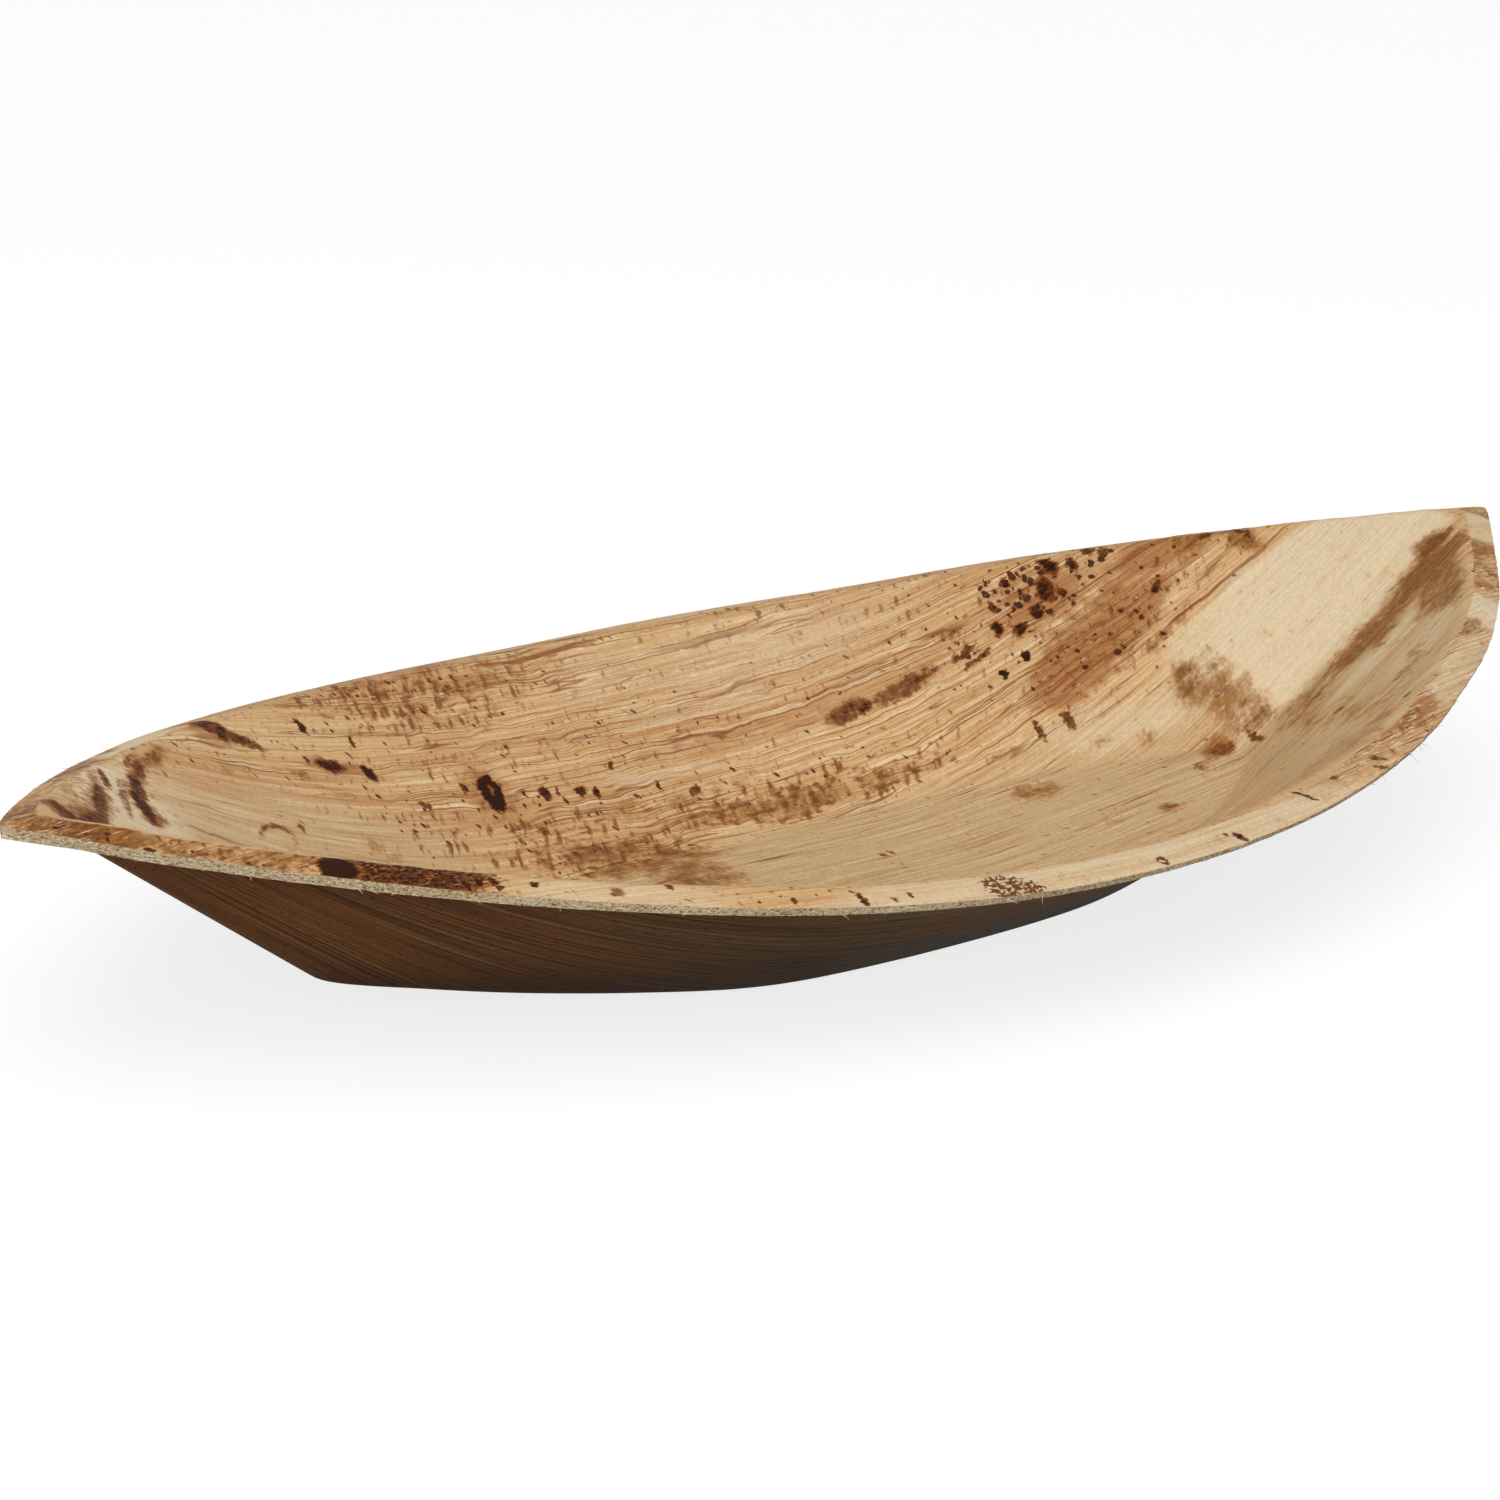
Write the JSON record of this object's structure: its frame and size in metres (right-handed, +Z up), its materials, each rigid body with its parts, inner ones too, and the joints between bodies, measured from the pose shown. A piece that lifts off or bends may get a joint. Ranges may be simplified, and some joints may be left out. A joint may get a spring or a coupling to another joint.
{
  "type": "palm leaf plate",
  "caption": "Boat-shaped palm leaf plate: pointed oval dish with sloping walls, a flat floor and a narrow turned-out rim band that rises to both points.",
  "frame": {"origin": "on the flat underside, below the middle of the plate", "axes": "+X along the plate and its fibres, towards the thinner end; +Y across it; +Z up out of the dish"},
  "size_m": [0.25, 0.115, 0.0322],
  "materials": {
    "leaf": "dry pressed palm leaf, straw to tan with brown flecks, fine long fibres, faint satin sheen"
  },
  "bodies": {
    "root": {"pressed_leaf_plate": "leaf"}
  },
  "joints": []
}
